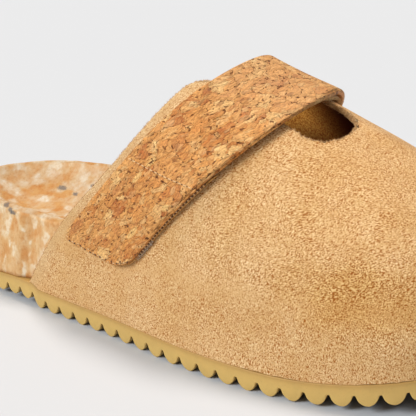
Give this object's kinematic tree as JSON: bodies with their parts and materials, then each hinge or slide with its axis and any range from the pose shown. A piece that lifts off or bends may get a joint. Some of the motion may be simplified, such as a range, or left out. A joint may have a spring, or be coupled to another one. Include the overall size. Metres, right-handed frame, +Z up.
{
  "type": "clog",
  "caption": "Closed-toe, open-heel clog for the right foot: suede shell upper, wide cork strap over a throat slot, moulded cork footbed and scalloped rubber outsole.",
  "frame": {"origin": "on the floor under the middle of the shoe's length and width", "axes": "+X from heel to toe, +Y to the medial side, +Z up from the floor"},
  "size_m": [0.2618, 0.0982, 0.0964],
  "materials": {
    "outsole_rubber": "satin moulded rubber, mustard",
    "footbed_cork": "matt moulded cork with pale streaks",
    "upper_suede": "tan suede with a short nap",
    "strap_cork": "cork fabric of orange-brown flakes on a pale woven backing"
  },
  "bodies": {
    "root": {"outsole": "outsole_rubber", "footbed": "footbed_cork", "upper": "upper_suede", "strap": "strap_cork"}
  },
  "joints": []
}
